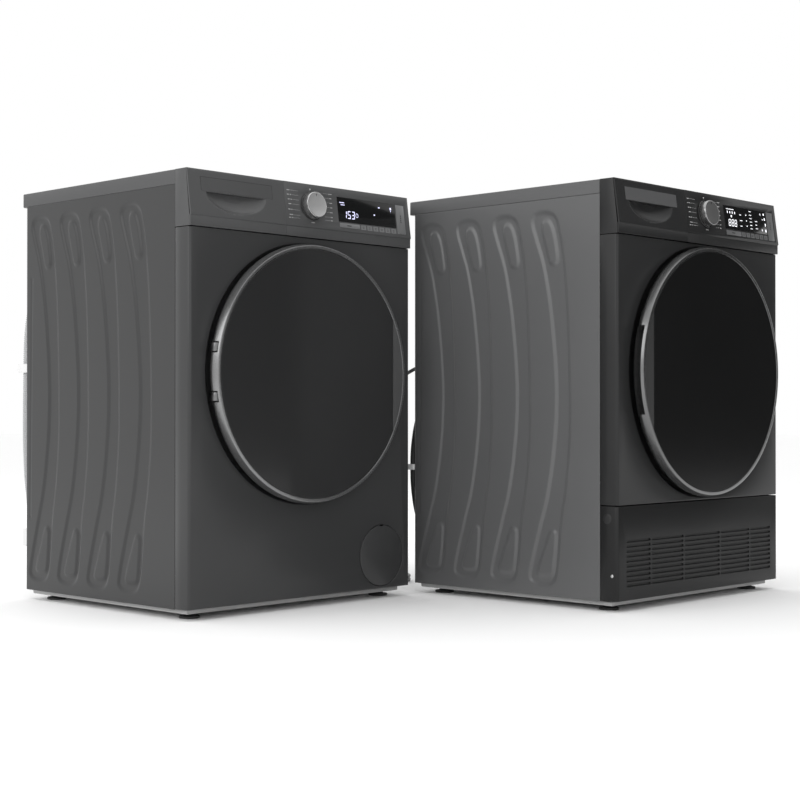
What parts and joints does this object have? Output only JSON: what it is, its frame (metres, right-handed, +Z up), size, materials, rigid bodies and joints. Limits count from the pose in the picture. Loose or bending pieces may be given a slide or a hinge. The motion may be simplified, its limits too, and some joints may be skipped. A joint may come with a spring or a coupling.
{
  "type": "washer and dryer pair",
  "caption": "Front-loading washing machine with a matching tumble dryer beside it, each with a round door, a slanted control fascia, a pull-out drawer and pressed side panels.",
  "frame": {"origin": "floor level, at the middle of the pair's footprint, cord left out", "axes": "+X to the right of a person facing the doors, +Y from the fronts to the rear, +Z up"},
  "size_m": [1.2466, 1.1068, 0.845],
  "materials": {
    "light_plastic": "matt",
    "galvanised": "satin",
    "rubber_foot": "matt",
    "white_plastic": "satin",
    "hose_grey": "satin",
    "hose_black": "matt",
    "cord_grey": "satin",
    "display": "gloss",
    "cover_glass": "gloss",
    "cover_glass_dark": "gloss",
    "bowl_glass": "gloss",
    "inner_plastic": "satin",
    "ring_silver": "satin metallic",
    "ring_graphite": "satin metallic",
    "zinc": "satin",
    "gasket_rubber": "matt",
    "tub_plastic": "matt",
    "drum_steel": "brushed",
    "pulley_alloy": "cast",
    "belt_rubber": "matt",
    "motor_steel": "satin",
    "concrete": "matt",
    "side_grey": "satin",
    "top_grey": "satin",
    "front_grey": "satin",
    "front_dark": "satin",
    "fascia_grey": "satin",
    "fascia_dark": "satin",
    "knob_silver": "satin",
    "key_plastic": "satin",
    "roller_rubber": "matt",
    "heat_exchanger": "satin"
  },
  "bodies": {
    "cabinets": {"base_trays": "light_plastic", "rear_panels": "galvanised", "levelling_feet": "rubber_foot", "hose_clips": "white_plastic", "washer_cabinet": "side_grey", "washer_top_cover": "top_grey", "washer_front_panel": "front_grey", "washer_control_fascia": "fascia_grey", "washer_display_window": "display", "washer_door_hinge": "zinc", "washer_door_gasket": "gasket_rubber", "washer_tub": "tub_plastic", "washer_drive_belt": "belt_rubber", "washer_motor": "motor_steel", "washer_counterweight": "concrete", "washer_suspension": "zinc", "washer_drain_pump": "white_plastic", "washer_drain_hose": "hose_grey", "washer_inlet_valve": "white_plastic", "dryer_cabinet": "side_grey", "dryer_top_cover": "top_grey", "dryer_front_panel": "front_dark", "dryer_plinth_panel": "front_dark", "dryer_control_fascia": "fascia_dark", "dryer_display_window": "display", "dryer_door_hinge": "zinc", "dryer_lint_filter": "inner_plastic", "dryer_motor_blower": "motor_steel", "dryer_drive_belt": "belt_rubber", "dryer_heat_pump": "heat_exchanger", "dryer_condensate_hose": "hose_black", "dryer_strain_relief": "cord_grey", "dryer_power_cord": "cord_grey", "dryer_cord_coil": "cord_grey", "dryer_plug": "cord_grey"},
    "washer_door": {"washer_door_ring": "ring_silver", "washer_door_cover_glass": "cover_glass", "washer_door_bowl": "bowl_glass"},
    "washer_drawer": {"washer_drawer_front": "fascia_grey", "washer_drawer_tray": "inner_plastic"},
    "washer_knob": {"washer_program_knob": "knob_silver"},
    "washer_power": {"washer_power_key": "key_plastic"},
    "washer_start": {"washer_start_key": "key_plastic"},
    "washer_drum_set": {"washer_drum": "drum_steel", "washer_drum_lifters": "inner_plastic", "washer_drum_pulley": "pulley_alloy"},
    "washer_motor_rotor": {"washer_motor_pulley": "pulley_alloy"},
    "washer_flap": {"washer_filter_flap": "front_grey"},
    "dryer_door": {"dryer_door_ring": "ring_graphite", "dryer_door_cover_glass": "cover_glass_dark", "dryer_door_inner": "inner_plastic"},
    "dryer_tank_drawer": {"dryer_tank_front": "fascia_dark", "dryer_tank": "inner_plastic"},
    "dryer_knob": {"dryer_program_knob": "knob_silver"},
    "dryer_power": {"dryer_power_key": "key_plastic"},
    "dryer_start": {"dryer_start_key": "key_plastic"},
    "dryer_drum_set": {"dryer_drum": "drum_steel"},
    "dryer_roller_l": {"dryer_roller_left": "roller_rubber"},
    "dryer_roller_r": {"dryer_roller_right": "roller_rubber"}
  },
  "joints": [
    {"name": "washer_door_swing", "type": "hinge", "parent": "cabinets", "child": "washer_door", "pos_m": [-0.57175, -0.03936, 0.465], "axis": [0, 0, -1], "range_deg": [0, 150]},
    {"name": "washer_drawer_slide", "type": "slide", "parent": "cabinets", "child": "washer_drawer", "axis": [0, -1, 0], "range_m": [0, 0.28]},
    {"name": "washer_knob_turn", "type": "hinge", "parent": "cabinets", "child": "washer_knob", "pos_m": [-0.31225, -0.02258, 0.7998], "axis": [0, -0.9907, 0.1363], "continuous": true},
    {"name": "washer_power_press", "type": "slide", "parent": "cabinets", "child": "washer_power", "axis": [0, 0.9907, -0.1363], "range_m": [0, 0.0015], "stiffness_N_per_m": 1500},
    {"name": "washer_start_press", "type": "slide", "parent": "cabinets", "child": "washer_start", "axis": [0, 0.9907, -0.1363], "range_m": [0, 0.0015], "stiffness_N_per_m": 1500},
    {"name": "washer_drum_spin", "type": "hinge", "parent": "cabinets", "child": "washer_drum_set", "pos_m": [-0.32575, 0.27664, 0.465], "axis": [0, 1, 0], "continuous": true},
    {"name": "washer_motor_spin", "type": "hinge", "parent": "cabinets", "child": "washer_motor_rotor", "pos_m": [-0.25575, 0.47164, 0.112], "axis": [0, 1, 0], "continuous": true},
    {"name": "washer_flap_swing", "type": "hinge", "parent": "cabinets", "child": "washer_flap", "pos_m": [-0.11225, -0.02366, 0.0272], "axis": [1, 0, 0], "range_deg": [0, 95]},
    {"name": "dryer_door_swing", "type": "hinge", "parent": "cabinets", "child": "dryer_door", "pos_m": [0.57175, -0.53936, 0.472], "axis": [0, 0, 1], "range_deg": [0, 150]},
    {"name": "dryer_tank_slide", "type": "slide", "parent": "cabinets", "child": "dryer_tank_drawer", "axis": [0, -1, 0], "range_m": [0, 0.36]},
    {"name": "dryer_knob_turn", "type": "hinge", "parent": "cabinets", "child": "dryer_knob", "pos_m": [0.33925, -0.52258, 0.7998], "axis": [0, -0.9907, 0.1363], "continuous": true},
    {"name": "dryer_power_press", "type": "slide", "parent": "cabinets", "child": "dryer_power", "axis": [0, 0.9907, -0.1363], "range_m": [0, 0.0015], "stiffness_N_per_m": 1500},
    {"name": "dryer_start_press", "type": "slide", "parent": "cabinets", "child": "dryer_start", "axis": [0, 0.9907, -0.1363], "range_m": [0, 0.0015], "stiffness_N_per_m": 1500},
    {"name": "dryer_drum_spin", "type": "hinge", "parent": "cabinets", "child": "dryer_drum_set", "pos_m": [0.32575, -0.22336, 0.472], "axis": [0, 1, 0], "continuous": true},
    {"name": "dryer_roller_left_spin", "type": "hinge", "parent": "cabinets", "child": "dryer_roller_l", "pos_m": [0.17175, -0.22336, 0.25218], "axis": [0, 1, 0], "continuous": true},
    {"name": "dryer_roller_right_spin", "type": "hinge", "parent": "cabinets", "child": "dryer_roller_r", "pos_m": [0.47975, -0.22336, 0.25218], "axis": [0, 1, 0], "continuous": true}
  ],
  "couplings": [
    {"joint": "washer_motor_spin", "follows": "washer_drum_spin", "ratio": 11.161},
    {"joint": "dryer_roller_left_spin", "follows": "dryer_drum_spin", "ratio": -8.5857},
    {"joint": "dryer_roller_right_spin", "follows": "dryer_drum_spin", "ratio": -8.5857}
  ]
}
